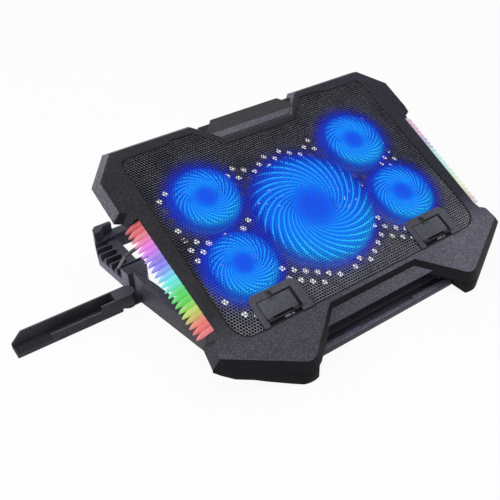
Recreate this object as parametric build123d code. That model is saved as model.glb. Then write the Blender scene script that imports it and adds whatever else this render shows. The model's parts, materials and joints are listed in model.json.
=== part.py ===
from build123d import *
import math
import os

os.makedirs("parts", exist_ok=True)

# Laptop cooling pad: a tilting fan panel on a low base, millimetres, +Z up.
# Origin: on the desk, in the middle, straight below the hinge line of the panel.
# +X to the user's right, +Y away from the user. The panel is drawn flat in its
# own frame (x, v, h): rear top edge at v = 0, front at negative v, top face at h = 0.

# ---------------------------------------------------------------- stance and hinge
tilt_angle = 25.0          # panel tilt in use
hinge_height = 10.2        # hinge line above the desk
hinge_back = 275.0         # rear top edge to hinge line, along the panel
hinge_drop = 28.9          # top face to hinge line, square to the panel
run_gap = 0.05             # radial clearance of a pin in its hole
part_gap = 0.3             # clearance between pieces that move past each other

# ---------------------------------------------------------------- panel outline
plate_t = 3.0
skirt_depth = 9.4
skirt_flare = 8.0
skirt_wall = 2.6
notch_half_low = 50.5      # nameplate notch, front corners
notch_half_mid = 62.5
notch_half_top = 75.0
notch_depth_mid = 12.0
notch_depth = 28.0
plate_bevel = 5.0           # light-catching bevel on the nameplate's front edge
plate_bevel_drop = 2.2
rear_half = 175.5
side_half = 201.5
chamfer_depth = 30.5
side_end = 71.5
step_half = 191.5
strip_start = 86.0         # light strip bay, distance from the rear edge
strip_end = 228.0
strip_half_rear = 187.0
strip_half_front = 182.0
wing_root_half = 191.0
wing_root_depth = 240.0
wing_corner_half = 193.0
wing_corner_depth = 254.7
wing_tip_half = 112.0
wing_tip_depth = 300.2
wing_tip_radius = 14.0
throat_half = 60.4
throat_depth = 255.0
apron_half = 80.5
apron_depth = 274.5
apron_drop = 6.0

# ---------------------------------------------------------------- mesh sheet
mesh_t = 1.0
mesh_recess = 0.8
mesh_ledge = 2.6
mesh_pitch = 20.0
mesh_hole = 15.0
window_half_rear = 171.0
window_half_front = 168.4
window_rear = 12.0
window_front = 250.5
window_corner = 9.0
window_notch_half = 47.5
window_notch_depth = 36.0
window_notch_run = 29.0     # the notch's slope, then the rear edge's step, from the notch
window_step_start = 57.0
window_step_end = 68.0
window_step_rear = 8.0

# ---------------------------------------------------------------- bottom shell
shell_half = 173.0
shell_rear = 30.0
shell_front = 252.0
shell_drop = 20.5
shell_wall = 2.2
shell_draft = 32.0
shell_notch_gap = 8.0      # the rim keeps this far from the rear notch of the panel
shell_notch_drop = 9.0
shell_step_gap = 12.0
shell_rear_cut = (22.0, 26.0)     # what the rim's corners lose across and along
shell_front_cut = (34.0, 34.0)
shell_side_run_in = 4.0
shell_flange_t = 1.2       # closes the window's corners, outside the rim
vent_flats = 7.0           # six-sided vents in the floor, across flats
vent_column_pitch = 11.0
vent_row_pitch = 13.5
vent_row_start = 2.5
vent_reach_large = 28.0    # vents go this far beyond the large fan's blades
vent_reach_small = 31.0
vent_margin = 3.0          # solid floor kept round vents, ring walls and motor seats

# ---------------------------------------------------------------- fans
large_fan_radius = 65.0
large_fan_depth = 147.4
small_fan_radius = 33.0
small_fan_places = [(-105.0, -87.3), (105.0, -87.3), (-113.0, -174.6), (113.0, -174.6)]
fan_ring_wall = 2.6
fan_tip_gap = 1.4
fan_height = 14.6
fan_floor_t = 2.4
fan_shaft_radius = 1.5
motor_share = 0.36          # motor seat radius over blade radius
fan_cap_t = 1.5            # rim of the ring above the end of the shaft
fan_top_gap = 0.4          # rotor below the rim of its ring
hub_share = 0.34           # hub radius over blade radius
hub_chamfer = 1.0
vane_root = 1.5            # how far a vane runs into the hub
vane_lead = 35.0           # angle between a vane and the circle that it crosses
vane_cover = 0.22          # share of the circle that the vanes' edges fill
vane_pitch = 1.0           # a vane's top leads its foot by this share of half the spacing
vane_steps = 4
large_blades = 28
small_blades = 24

# ---------------------------------------------------------------- light strips
fin_count = 22
fin_reach = 17.0
fin_valley = 10.0
fin_root_t = 3.0
fin_top_fall = 8.6
fin_tip_t = 1.6
led_board_w = 5.0
led_board_t = 1.0

# ---------------------------------------------------------------- stoppers
stopper_x = 107.2
stopper_half = 30.5
stopper_rear = 213.0
stopper_front = 250.0
stopper_top = 2.0
stopper_floor = 0.7
stopper_corner = 9.0
flap_left = 23.2           # flap edges from the stopper's middle
flap_right = 15.6
flap_rear = 222.6
flap_front = 241.6
flap_axis_depth = 245.0
flap_axis_h = 1.3
flap_barrel_radius = 1.7
flap_pin_radius = 0.8
flap_t = 1.9

# ---------------------------------------------------------------- prop bail
wire_radius = 2.0
prop_axis_depth = 102.0
prop_axis_drop = 6.5
prop_length = 101.0
prop_pin_half = 173.5
prop_arm_half = 184.0
prop_jog_start = 36.0
prop_jog_end = 58.0
prop_bend = 4.0
clip_w = 5.2
clip_l = 11.0

# ---------------------------------------------------------------- base
rail_height = 28.0
beam_height = 14.0
rail_front = 24.0
ladder_first = 211.0       # notch that the crossbar stands over in use
ladder_pitch = 12.0
ladder_count = 6
ladder_slot = 9.0
ladder_top = 20.4
ladder_floor = 12.6
deck_inner = 168.0         # inner face of the rails beside the ladders
ladder_inner = deck_inner + 12.0
rail_step = 3.0
rail_wall = 12.6
rail_reach = deck_inner + 47.0   # beyond any rail, for cuts that run out
rail_outset_front = 8.0    # outer face of a rail beyond deck_inner, front end
rail_outset_bay = 10.5
rail_outset_mid = 25.6
rail_outset_ladder = 29.5
rail_outset_rear = 33.5
rail_outset_corner = 25.0
rail_outset_back = 20.0
rail_bay_y = 62.0
rail_mid_y = 168.0
rail_rear_y = 258.0
rail_corner_y = 286.0
deck_height = 16.0
rear_beam_front = 277.2
rear_beam_back = 291.0
rear_beam_height = 22.0
block_height = 34.0
corner_web = 8.4
foot_pad_t = 1.6
foot_pad_radius = 6.0
bar_front = -15.0
bar_back = -7.0
bar_height = 6.0
bar_slot_floor = 1.6
shelf_height = 8.0
shelf_front = -0.2
shelf_back = 13.6
front_beam_back = 38.0
bay_half = 104.3           # half width of the bay between the two toes
toe_gap = 1.0
toe_clear = 0.4
toe_round = 9.6
hinge_pin_radius = 2.5
hinge_pin_length = 22.0
knuckle_length = 12.0
knuckle_radius = 6.0

prop_foot_half = deck_inner + 29.0   # the crossbar reaches over both ladders

# ---------------------------------------------------------------- phone tray
tray_x = -deck_inner - 38.0 # pivot of the tray
tray_y = 176.0
tray_length = 130.0        # pivot to outer end
tray_half_w = 9.25
tray_wall = 2.4
tray_floor = 2.4
tray_height = 20.0
tray_clear = 1.0
tray_channel_start = 10.2
tray_low_start = 34.0
tray_low_end = 92.0
tray_low_height = 13.0
tray_lip_height = 4.6
tray_back_chamfer = 13.0
tray_pin_radius = 2.5
lug_top = 4.2
lug_half_w = 8.0
pocket_front = 164.0
pocket_back = 190.0
pocket_wall_half = deck_inner + 21.0

# ---------------------------------------------------------------- rear controls
control_x = 112.0
control_half_w = 34.0
control_front = 29.0
control_rear = 6.0
control_drop = 19.0
usb_w = 14.0
usb_h = 6.6
usb_wall = 0.5
usb_depth = 12.0
usb_x = [-24.0, -6.0]
button_x = [10.0, 24.0]
button_radius = 3.4
button_length = 7.0
button_proud = 2.2
button_travel = 1.5
control_mid_drop = 13.8

# ================================================================ helpers
theta = math.radians(tilt_angle)
flare_angle = math.degrees(math.atan2(skirt_flare, skirt_depth))
panel_frame_place = (
    Location((0, 0, hinge_height))
    * Location((0, 0, 0), (tilt_angle, 0, 0))
    * Location((0, hinge_back, hinge_drop))
)
mesh_bottom = -mesh_recess - mesh_t
floor_top = -shell_drop + shell_wall
nodes = {}


def place(shape):
    """Panel frame to the part's own frame, at the tilt in use."""
    return panel_frame_place * shape


def both_sides(points):
    """Closed outline from right-hand points listed from rear to front."""
    return points + [(-x, y) for x, y in reversed(points)]


def mirrored(shape):
    return shape.mirror(Plane.YZ)


def block(x0, x1, y0, y1, z0, z1):
    return Pos((x0 + x1) / 2, (y0 + y1) / 2, (z0 + z1) / 2) * Box(x1 - x0, y1 - y0, z1 - z0)


def rod_x(x0, x1, y, z, radius):
    return Pos((x0 + x1) / 2, y, z) * Rot(0, 90, 0) * Cylinder(radius, x1 - x0)


def prism(face, low, high):
    """Extrude a plan sketch from height low to height high."""
    return extrude(Pos(0, 0, low) * face, amount=high - low)


# ================================================================ panel frame
def half_outline():
    """Right half of the top outline, as a wire that closes along x = 0."""
    edge = Polyline(
        (0, -notch_depth),
        (notch_half_low, -notch_depth),
        (notch_half_mid, -notch_depth_mid),
        (notch_half_top, 0),
        (rear_half, 0),
        (side_half, -chamfer_depth),
        (side_half - 0.5, -side_end),
        (step_half + 2.5, -side_end - 3.5),
        (step_half, -strip_start + 1),
        (strip_half_rear, -strip_start),
        (strip_half_front, -strip_end),
        (strip_half_front + 2.6, -wing_root_depth + 3.6),
        (wing_root_half, -wing_root_depth),
        (wing_corner_half, -wing_corner_depth),
        (wing_tip_half, -wing_tip_depth),
        (throat_half, -throat_depth),
        (0, -throat_depth),
        close=True,
    )
    face = make_face(edge)
    tip = face.vertices().sort_by(Axis.Y)[0]
    return fillet(tip, wing_tip_radius)


def top_outline():
    half = half_outline()
    return half + mirror(half, about=Plane.YZ)


def window_outline(inset):
    """Mesh window; inset draws the narrower opening below the ledge."""
    points = both_sides([
        (window_notch_half, -window_notch_depth),
        (window_notch_half + window_notch_run, -window_step_rear),
        (window_notch_half + window_step_start, -window_step_rear),
        (window_notch_half + window_step_end, -window_rear),
        (window_half_rear, -window_rear),
        (window_half_front, -window_front),
    ])
    face = make_face(Polyline(*points, close=True))
    corners = face.vertices().sort_by(Axis.Y)[:2] + face.vertices().filter_by(
        lambda v: abs(v.X) > window_half_rear - 1 and v.Y > -window_rear - 1
    )
    face = fillet(corners, window_corner)
    return offset(face, amount=-inset) if inset else face


outline = top_outline()
skirt_bottom_outline = offset(outline, amount=skirt_flare, kind=Kind.INTERSECTION)


def make_panel_frame():
    solid = extrude(outline, amount=-skirt_depth, taper=-flare_angle)
    hollow_face = offset(outline, amount=-skirt_wall, kind=Kind.INTERSECTION)
    hollow = extrude(Pos(0, 0, -plate_t) * hollow_face, amount=-skirt_depth, taper=-flare_angle)
    solid -= hollow
    for side in (1, -1):
        bay = Polyline(
            (side * (strip_half_rear + 30), -strip_start),
            (side * strip_half_rear, -strip_start),
            (side * strip_half_front, -strip_end),
            (side * (strip_half_front + 30), -strip_end),
            close=True,
        )
        solid -= prism(make_face(bay), -skirt_depth - 8, 1)
        under_bay = block(shell_half, side_half + 20, -strip_end, -strip_start, -skirt_depth - 8, -plate_t)
        solid -= under_bay if side > 0 else mirrored(under_bay)
    apron = make_face(Polyline(*[
        (throat_half - 4, -throat_depth - 2),
        (throat_half, -throat_depth - 2),
        (apron_half, -apron_depth),
        (-apron_half, -apron_depth),
        (-throat_half, -throat_depth - 2),
        (-throat_half + 4, -throat_depth - 2),
    ], close=True))
    solid += prism(apron, -skirt_depth, -apron_drop)
    ledge = make_face(Polyline(*both_sides([
        (notch_half_mid + 3, -2.0),
        (notch_half_mid + 3, -notch_depth_mid),
        (notch_half_low + 1, -notch_depth - 6),
    ]), close=True))
    solid += prism(ledge, -plate_t - 2.2, -plate_t)
    solid -= prism(window_outline(0), -mesh_recess - mesh_t, 1)
    solid -= prism(window_outline(mesh_ledge), -skirt_depth - 8, 1)
    return solid


def make_mesh_panel():
    sheet = window_outline(0)
    margin = mesh_hole / 2 + mesh_ledge + 3
    usable = window_outline(margin)
    holes = []
    columns = int(window_half_rear // mesh_pitch) + 1
    rows = int(window_front // mesh_pitch) + 1
    for column in range(-columns, columns + 1):
        for row in range(rows):
            spot = Vector(column * mesh_pitch, -window_rear - (row + 0.5) * mesh_pitch, 0)
            if usable.face().is_inside(spot):
                holes.append(Pos(spot) * Rectangle(mesh_hole, mesh_hole))
    return prism(sheet - holes, mesh_bottom, -mesh_recess)


def make_bottom_shell():
    rim = make_face(Polyline(*both_sides([
        (notch_half_low + shell_notch_gap, -notch_depth - shell_notch_drop),
        (notch_half_mid + shell_step_gap, -shell_rear),
        (shell_half - shell_rear_cut[0], -shell_rear),
        (shell_half, -shell_rear - shell_rear_cut[1]),
        (shell_half - shell_side_run_in, -shell_front + shell_front_cut[1]),
        (shell_half - shell_front_cut[0], -shell_front),
    ]), close=True))
    height = shell_drop - plate_t
    solid = extrude(Pos(0, 0, -plate_t) * rim, amount=-height, taper=shell_draft)
    inner = offset(rim, amount=-shell_wall, kind=Kind.INTERSECTION)
    solid -= extrude(Pos(0, 0, -plate_t) * inner, amount=-(height - shell_wall), taper=shell_draft)
    flange = prism(window_outline(mesh_ledge + part_gap) - inner, -plate_t - shell_flange_t, -plate_t)
    solid += flange - block(control_x - control_half_w - part_gap, control_x + control_half_w + part_gap,
                            -control_front - part_gap, 0, -control_drop, 0)
    floor_inset = height * math.tan(math.radians(shell_draft)) + shell_wall + vent_flats / 2 + vent_margin
    floor = offset(rim, amount=-floor_inset, kind=Kind.INTERSECTION).face()
    vent = RegularPolygon(vent_flats / 2, 6, major_radius=False)
    vents = [Pos(x, y) * vent for x, y in vent_spots() if floor.is_inside(Vector(x, y, 0))]
    return solid - prism(Sketch() + vents, -shell_drop - 1, floor_top + 1)


def vent_spots():
    """Staggered grid of vents round and under the fans, clear of their ring walls and motors."""
    spots = []
    columns = int(shell_half // vent_column_pitch) + 1
    rows = int(shell_front // vent_row_pitch) + 1
    clear = vent_flats / 2 + vent_margin
    for column in range(-columns, columns + 1):
        for row in range(rows):
            x = (column + 0.5) * vent_column_pitch
            y = vent_row_start - (row + (column % 2) / 2) * vent_row_pitch
            wanted = False
            blocked = False
            for fan_x, fan_y, radius in fan_list():
                away = math.hypot(x - fan_x, y - fan_y)
                reach = vent_reach_large if radius == large_fan_radius else vent_reach_small
                wanted = wanted or away < radius + reach
                blocked = blocked or abs(away - radius - fan_tip_gap - fan_ring_wall / 2) < clear
                blocked = blocked or away < radius * motor_share + clear
            if wanted and not blocked:
                spots.append((x, y))
    return spots


def fan_list():
    fans = [(0.0, -large_fan_depth, large_fan_radius)]
    fans += [(x, y, small_fan_radius) for x, y in small_fan_places]
    return fans


def make_fan_frame(radius):
    """Ring, four struts and a motor seat with the rotor's shaft."""
    inner = radius + fan_tip_gap
    ring = prism(Circle(inner + fan_ring_wall) - Circle(inner), floor_top, floor_top + fan_height)
    seat_radius = radius * motor_share
    plan = Circle(seat_radius)
    for strut in range(4):
        arm = Pos((seat_radius + inner) / 2, 0) * Rectangle(inner - seat_radius + 2, radius * 0.1)
        plan += Rot(0, 0, 45 + 90 * strut) * arm
    seat = prism(plan, floor_top, floor_top + fan_floor_t)
    shaft = prism(Circle(fan_shaft_radius), floor_top, floor_top + fan_height - fan_cap_t)
    return ring + seat + shaft


def vane_point(start, reach, side):
    """Point on a spiral that leaves the hub and trails round the fan."""
    turn = math.log(reach / start) / math.tan(math.radians(vane_lead)) + side
    return reach * math.cos(turn), reach * math.sin(turn)


def make_rotor(radius, blades):
    """Hub cap on the shaft with a ring of swept, pitched vanes."""
    hub_radius = radius * hub_share
    low = floor_top + fan_floor_t + part_gap
    high = floor_top + fan_height - fan_top_gap
    hub = prism(Circle(hub_radius), low, high)
    hub = chamfer(hub.faces().sort_by(Axis.Z)[-1].edges(), hub_chamfer)
    hub -= prism(Circle(fan_shaft_radius + run_gap), low - 1, floor_top + fan_height - fan_cap_t + part_gap)
    start = hub_radius - vane_root
    end = radius - run_gap
    half = math.pi / blades * vane_cover
    lead = []
    trail = []
    for step in range(vane_steps + 1):
        reach = start + (end - start) * step / vane_steps
        lead.append(vane_point(start, reach, half))
        trail.append(vane_point(start, reach, -half))
    band = make_face(Polyline(*lead, *reversed(trail), close=True))
    turned = Rot(0, 0, 180.0 / blades * vane_pitch) * band
    vane = loft([Pos(0, 0, low) * band, Pos(0, 0, high - hub_chamfer - run_gap) * turned], ruled=True)
    return hub + [Rot(0, 0, 360.0 / blades * index) * vane for index in range(blades)]


def make_diffuser():
    """Right-hand light strip: pointed fins on a root rail, sloping out and down."""
    length = strip_end - strip_start
    pitch = (length - 2.0) / fin_count
    plan = Pos(fin_valley / 2, -length / 2) * Rectangle(fin_valley, length - 2.0)
    for index in range(fin_count):
        middle = -1.0 - pitch * (index + 0.5)
        plan += make_face(Polyline(
            (fin_valley - 3, middle + pitch * 0.46),
            (fin_valley, middle + pitch * 0.46),
            (fin_reach - 1.2, middle + pitch * 0.12),
            (fin_reach, middle - pitch * 0.16),
            (fin_reach - 2.4, middle - pitch * 0.34),
            (fin_valley, middle - pitch * 0.46),
            (fin_valley - 3, middle - pitch * 0.46),
            close=True,
        ))
    body = prism(plan, -16, 0)
    section = make_face(Polyline(
        (0, -mesh_recess),
        (fin_reach * 0.45, -mesh_recess - fin_top_fall * 0.3),
        (fin_reach, -mesh_recess - fin_top_fall),
        (fin_reach, -mesh_recess - fin_top_fall - fin_tip_t),
        (fin_reach * 0.4, -mesh_recess - fin_root_t - fin_top_fall * 0.4),
        (0, -mesh_recess - fin_root_t),
        close=True,
    ))
    slab = extrude(Plane.XZ * section, amount=length)
    edge_angle = math.degrees(math.atan2(strip_half_rear - strip_half_front, strip_end - strip_start))
    return Pos(strip_half_rear, -strip_start, 0) * Rot(0, 0, -edge_angle) * (body & slab)


def make_led_board():
    edge_angle = math.degrees(math.atan2(strip_half_rear - strip_half_front, strip_end - strip_start))
    length = strip_end - strip_start
    board = block(-led_board_w - 1.0, -1.0, -length + 4, -4, -plate_t - led_board_t, -plate_t)
    return Pos(strip_half_rear, -strip_start, 0) * Rot(0, 0, -edge_angle) * board


def make_toe():
    """Right foot under the wing tip; its wall stands upright on the desk."""
    reach = make_face(Polyline(
        (bay_half + toe_gap, -wing_tip_depth - 30),
        (bay_half + toe_gap, -throat_depth - 4),
        (wing_corner_half + 20, -throat_depth - 4),
        (wing_corner_half + 20, -wing_tip_depth - 30),
        close=True,
    ))
    face = skirt_bottom_outline & reach
    down = Vector(0, -math.sin(theta), -math.cos(theta))
    column = extrude(Pos(0, 0, -skirt_depth) * face, amount=60, dir=down)
    column = place(column)
    profile = Polyline(
        (bay_half, toe_clear),
        (124.0, toe_clear),
        (133.0, 3.0),
        (156.0, 10.9),
        (167.0, 15.3),
        (183.0, 19.3),
        (195.0, 26.7),
        (203.0, 33.0),
        (203.0, 80.0),
        (bay_half, 80.0),
        close=True,
    )
    side_form = extrude(Plane.XZ * make_face(profile), amount=60, both=True)
    column = column & side_form
    wall_back = block(0, 260, -80, toe_round, hinge_height, 80)
    front_part = block(0, 260, -80, 0, 0, 80)
    heel = rod_x(0, 260, 0, hinge_height, toe_round)
    column = column & (wall_back + front_part + heel)
    bore = rod_x(bay_half - 5, bay_half + toe_gap + hinge_pin_length / 2, 0, hinge_height, hinge_pin_radius + run_gap)
    return column - bore


def make_nameplate():
    gap = 1.5
    face = make_face(Polyline(*both_sides([
        (notch_half_low - 3.0, 1.0),
        (notch_half_mid - gap, -notch_depth_mid - 1.5),
        (notch_half_low - gap, -notch_depth + gap),
    ]), close=True))
    plate = extrude(Pos(0, 0, -0.3) * face, amount=0.3 - plate_t, taper=flare_angle)
    bevel = make_face(Polyline(
        (-notch_depth - 2, 1.0),
        (-notch_depth - 2, -plate_bevel_drop),
        (-notch_depth + gap, -plate_bevel_drop),
        (-notch_depth + gap + plate_bevel, -0.3),
        (-notch_depth + gap + plate_bevel, 1.0),
        close=True,
    ))
    return plate - extrude(Plane.YZ * bevel, amount=notch_half_top, both=True)


def make_stopper_base():
    """Raised bed on the mesh with a pocket for the flap and ears for its pin."""
    low = -mesh_recess
    outer = Pos(0, -(stopper_rear + stopper_front) / 2) * Rectangle(
        2 * stopper_half, stopper_front - stopper_rear)
    outer = fillet(outer.vertices().group_by(Axis.Y)[-1], stopper_corner)
    bed = prism(outer, low, stopper_top)
    bed = chamfer(bed.faces().sort_by(Axis.Z)[-1].edges().group_by(Axis.Y)[-1], 0.5)
    pocket_floor = low + stopper_floor
    gap = 0.8
    bed -= block(-flap_left - gap, flap_right + gap, -flap_front - 1, -flap_rear + gap,
                 pocket_floor, stopper_top + 1)
    bed -= block(-flap_left - gap, flap_right + gap, -stopper_front - 1, -flap_front - 0.5,
                 low - 1, stopper_top + 1)
    bed += block(-flap_left - gap, flap_right + gap, -stopper_front, -stopper_front + 1.2,
                 low, low + stopper_floor)
    bed -= rod_x(-stopper_half + 2, stopper_half - 6, -flap_axis_depth, flap_axis_h, flap_pin_radius)
    return bed


def make_stopper_flap():
    plate = block(-flap_left, flap_right, -flap_front, -flap_rear,
                  stopper_top - flap_t, stopper_top)
    notch = Pos(-1.5, -flap_rear, stopper_top) * Cylinder(4.5, 1.6)
    plate -= notch
    knuckles = []
    for start, end in ((-flap_left + 1, -flap_left + 7), (flap_right - 7, flap_right - 1)):
        knuckles.append(rod_x(start, end, -flap_axis_depth, flap_axis_h, flap_barrel_radius))
        knuckles.append(block(start, end, -flap_axis_depth, -flap_front + 1, 0.1 + stopper_top - flap_t,
                              stopper_top - 0.4))
    flap = plate + knuckles
    return flap - rod_x(-40, 40, -flap_axis_depth, flap_axis_h, flap_pin_radius + run_gap)


def make_stopper_pin():
    return rod_x(-stopper_half + 2, stopper_half - 6, -flap_axis_depth, flap_axis_h, flap_pin_radius)


def make_prop_clip():
    """Right-hand bearing of the bail, under the panel plate."""
    x0 = prop_pin_half + 0.6
    ear = block(x0, x0 + clip_w, -prop_axis_depth - clip_l / 2, -prop_axis_depth + clip_l / 2,
                -prop_axis_drop, -plate_t)
    ear += rod_x(x0, x0 + clip_w, -prop_axis_depth, -prop_axis_drop, wire_radius + 2.2)
    ear = ear - block(x0 - 1, x0 + clip_w + 1, -prop_axis_depth - 20, -prop_axis_depth + 20, -plate_t, 5)
    return ear - rod_x(x0 - 1, x0 + clip_w + 1, -prop_axis_depth, -prop_axis_drop, wire_radius + run_gap)


def make_control_housing():
    x0 = control_x - control_half_w
    x1 = control_x + control_half_w
    box = block(x0, x1, -control_front, -control_rear, -control_drop, -plate_t)
    box = chamfer(box.edges().filter_by(Axis.X).group_by(Axis.Z)[0], 3.0)
    for x in usb_x:
        box -= block(control_x + x - usb_w / 2, control_x + x + usb_w / 2,
                     -control_rear - usb_depth, -control_rear + 1,
                     -control_mid_drop - usb_h / 2, -control_mid_drop + usb_h / 2)
    for x in button_x:
        bore = Pos(control_x + x, -control_rear, -control_mid_drop) * Rot(90, 0, 0) * Cylinder(
            button_radius + part_gap, 2 * (button_length - button_proud + button_travel + part_gap))
        box -= bore
    return box


def make_usb_socket(x):
    shell = block(x - usb_w / 2, x + usb_w / 2, -control_rear - usb_depth, -control_rear,
                  -control_mid_drop - usb_h / 2, -control_mid_drop + usb_h / 2)
    return shell - block(x - usb_w / 2 + usb_wall, x + usb_w / 2 - usb_wall,
                         -control_rear - usb_depth + 1.5, -control_rear + 1,
                         -control_mid_drop - usb_h / 2 + usb_wall, -control_mid_drop + usb_h / 2 - usb_wall)


def make_button(x):
    middle = -control_rear + button_proud - button_length / 2
    cap = Pos(x, middle, -control_mid_drop) * Rot(90, 0, 0) * Cylinder(button_radius, button_length)
    return chamfer(cap.edges().filter_by(GeomType.CIRCLE).group_by(Axis.Y)[-1], 0.7)


# ================================================================ prop bail
def prop_angle():
    """Slope of the arms below the level, with the panel at its tilt in use."""
    axis_y = (hinge_back - prop_axis_depth) * math.cos(theta) - (hinge_drop - prop_axis_drop) * math.sin(theta)
    return math.acos((ladder_first - axis_y) / prop_length)


def prop_axis():
    y = (hinge_back - prop_axis_depth) * math.cos(theta) - (hinge_drop - prop_axis_drop) * math.sin(theta)
    z = hinge_height + (hinge_back - prop_axis_depth) * math.sin(theta)
    z += (hinge_drop - prop_axis_drop) * math.cos(theta)
    return y, z


def make_prop():
    side = [
        (prop_pin_half, 0),
        (prop_arm_half, 0),
        (prop_arm_half, prop_jog_start),
        (prop_foot_half, prop_jog_end),
        (prop_foot_half, prop_length),
    ]
    points = [(x, y, 0) for x, y in side] + [(-x, y, 0) for x, y in reversed(side)]
    path = FilletPolyline(*points, radius=prop_bend)
    start = Plane(origin=path @ 0, z_dir=path % 0)
    wire = sweep(start * Circle(wire_radius), path=path)
    y, z = prop_axis()
    return Pos(0, y, z) * Rot(-math.degrees(prop_angle()), 0, 0) * wire


# ================================================================ base
def rail_outer():
    return [
        (deck_inner - rail_step, rail_front),
        (deck_inner + rail_outset_front, rail_front),
        (deck_inner + rail_outset_bay, rail_bay_y),
        (deck_inner + rail_outset_mid, rail_mid_y),
        (deck_inner + rail_outset_ladder, ladder_first),
        (deck_inner + rail_outset_rear, rail_rear_y),
        (deck_inner + rail_outset_corner, rail_corner_y),
        (deck_inner + rail_outset_back, rear_beam_back),
        (deck_inner, rear_beam_back),
    ]


def make_base():
    points = rail_outer() + [
        (deck_inner, ladder_first - 14.0),
        (deck_inner + rail_outset_mid - rail_wall, rail_mid_y + 4.0),
        (deck_inner + rail_outset_mid - rail_wall - rail_step, rail_mid_y - 11.0),
        (deck_inner - rail_step, rail_bay_y),
    ]
    rail = prism(make_face(Polyline(*points, close=True)), foot_pad_t, rail_height)
    ladder_start = ladder_first - ladder_slot / 2 - 1.0
    rail -= block(deck_inner - 5, rail_reach, ladder_start, rear_beam_back + 5, ladder_top, rail_height + 9)
    rail -= block(deck_inner - 5, ladder_inner, ladder_start, rear_beam_front, deck_height, rail_height + 9)
    for index in range(ladder_count):
        middle = ladder_first + ladder_pitch * index
        low = ladder_start if index == 0 else middle - ladder_slot / 2
        rail -= block(ladder_inner, rail_reach, low, middle + ladder_slot / 2, ladder_floor, rail_height)
    corner = make_face(Polyline(
        (deck_inner, rear_beam_front + corner_web),
        (deck_inner + rail_outset_bay, rear_beam_front + corner_web),
        (deck_inner + rail_outset_back - 1.6, rear_beam_front),
        (deck_inner + rail_outset_corner + 1.6, rear_beam_front),
        (deck_inner + rail_outset_corner, rail_corner_y),
        (deck_inner + rail_outset_back, rear_beam_back),
        (deck_inner, rear_beam_back),
        close=True,
    ))
    rail += prism(corner, foot_pad_t, block_height)
    base = rail + mirrored(rail)
    base += block(-deck_inner - 2, deck_inner + 2, rear_beam_front, rear_beam_back,
                  foot_pad_t, rear_beam_height)
    base += block(-deck_inner - rail_outset_front, deck_inner + rail_outset_front, shelf_back + 0.4,
                  front_beam_back, foot_pad_t, beam_height)
    bay = make_face(Polyline(
        (bar_front, 0.0),
        (bar_front, bar_height - 1.6),
        (bar_front + 1.6, bar_height),
        (bar_back, bar_height),
        (bar_back, bar_slot_floor),
        (shelf_front, bar_slot_floor),
        (shelf_front, shelf_height),
        (shelf_back + 2, shelf_height),
        (shelf_back + 2, 0.0),
        close=True,
    ))
    base += extrude(Plane.YZ * bay, amount=bay_half, both=True)
    base -= block(-28, 48, bar_back - 2.6, bar_back + 1, 3.4, bar_height + 1)
    for side in (-1, 1):
        x0 = side * (bay_half - knuckle_length)
        x1 = side * bay_half
        lo, hi = min(x0, x1), max(x0, x1)
        base += rod_x(lo, hi, 0, hinge_height, knuckle_radius) & block(lo, hi, -10, 10, shelf_height - 3, 30)
        base += block(lo, hi, shelf_front, shelf_back + 2, shelf_height - 1, hinge_height + 2)
        pin_end = side * (bay_half - hinge_pin_length / 2)
        base -= rod_x(min(pin_end, x1), max(pin_end, x1), 0, hinge_height, hinge_pin_radius)
    pocket = make_face(Polyline(
        (-rail_reach, pocket_front),
        (-pocket_wall_half, pocket_front),
        (-pocket_wall_half, pocket_back),
        (-rail_reach, pocket_back),
        close=True,
    ))
    base -= prism(pocket, lug_top, rail_height + 1)
    lug = block(tray_x, -ladder_inner, tray_y - lug_half_w, tray_y + lug_half_w, foot_pad_t, lug_top)
    lug += prism(Pos(tray_x, tray_y) * Circle(tray_half_w), foot_pad_t, lug_top)
    lug -= prism(Pos(tray_x, tray_y) * Circle(tray_pin_radius), foot_pad_t - 1, lug_top + 1)
    base += lug & block(-rail_reach, -ladder_inner - 4.0, pocket_front - 20, pocket_back + 20, 0, 10)
    return base


def make_tray():
    """Phone tray: a channel with a stepped front wall on a turning end."""
    low = tray_clear
    high = tray_height
    start = -tray_channel_start
    end = -tray_length
    channel = block(end, start, -tray_half_w, tray_half_w, low, high)
    channel -= block(end + tray_wall, start - 6, -tray_half_w + tray_wall, tray_half_w - tray_wall,
                     low + tray_floor, high + 1)
    channel -= block(-tray_low_end, -tray_low_start, -tray_half_w - 1, 0, tray_low_height, high + 1)
    channel -= block(end - 1, -tray_low_end, -tray_half_w - 1, 0, tray_lip_height, high + 1)
    channel -= block(end - 1, end + tray_wall, -tray_half_w - 1, tray_half_w - tray_wall,
                     tray_lip_height, high + 1)
    nose = make_face(Polyline(
        (end - 1, high + 1),
        (end + tray_back_chamfer, high + 1),
        (end + tray_back_chamfer - 1, high),
        (end, low + 7),
        (end - 1, low + 7),
        close=True,
    ))
    channel -= extrude(Plane.XZ * nose, amount=20, both=True)
    turn = prism(Circle(tray_half_w), lug_top + part_gap, high)
    turn += block(start - 1, 0, -tray_half_w, tray_half_w, lug_top + part_gap, high)
    turn -= prism(Circle(tray_pin_radius + run_gap), 0, high - 2)
    return Pos(tray_x, tray_y) * (channel + turn)


# ================================================================ nodes
def add(name, shape):
    nodes[name] = shape


def add_pair(name, right_shape, settle):
    add(name + "_right", settle(right_shape))
    add(name + "_left", settle(mirrored(right_shape)))


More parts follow.
